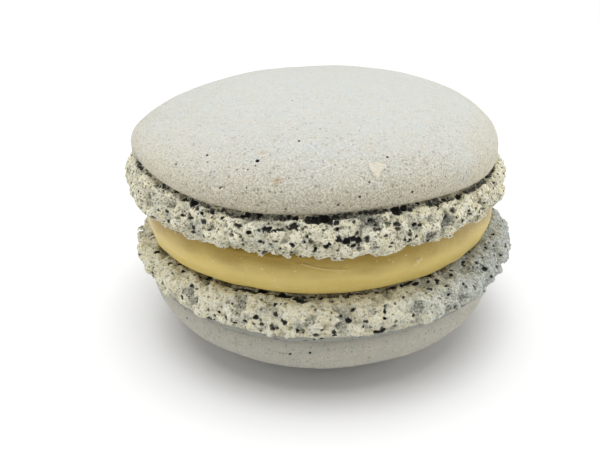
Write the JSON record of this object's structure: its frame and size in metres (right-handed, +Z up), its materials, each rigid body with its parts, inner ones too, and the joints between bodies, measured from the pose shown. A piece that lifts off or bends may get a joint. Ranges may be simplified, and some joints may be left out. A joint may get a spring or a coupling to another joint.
{
  "type": "macaron",
  "caption": "Filled almond macaron: a smooth domed shell with a crumbly foot above and below a disc of pale yellow buttercream.",
  "frame": {"origin": "on the surface that the macaron stands on, under the middle of its outline", "axes": "+Z up through the stack, from the lower shell to the upper one; -Y towards the shown side; +X to the right of it"},
  "size_m": [0.0476, 0.0464, 0.0302],
  "materials": {
    "shell": "matte baked almond crust",
    "filling": "soft satin buttercream"
  },
  "bodies": {
    "root": {"lower_shell": "shell", "filling": "filling", "upper_shell": "shell"}
  },
  "joints": []
}
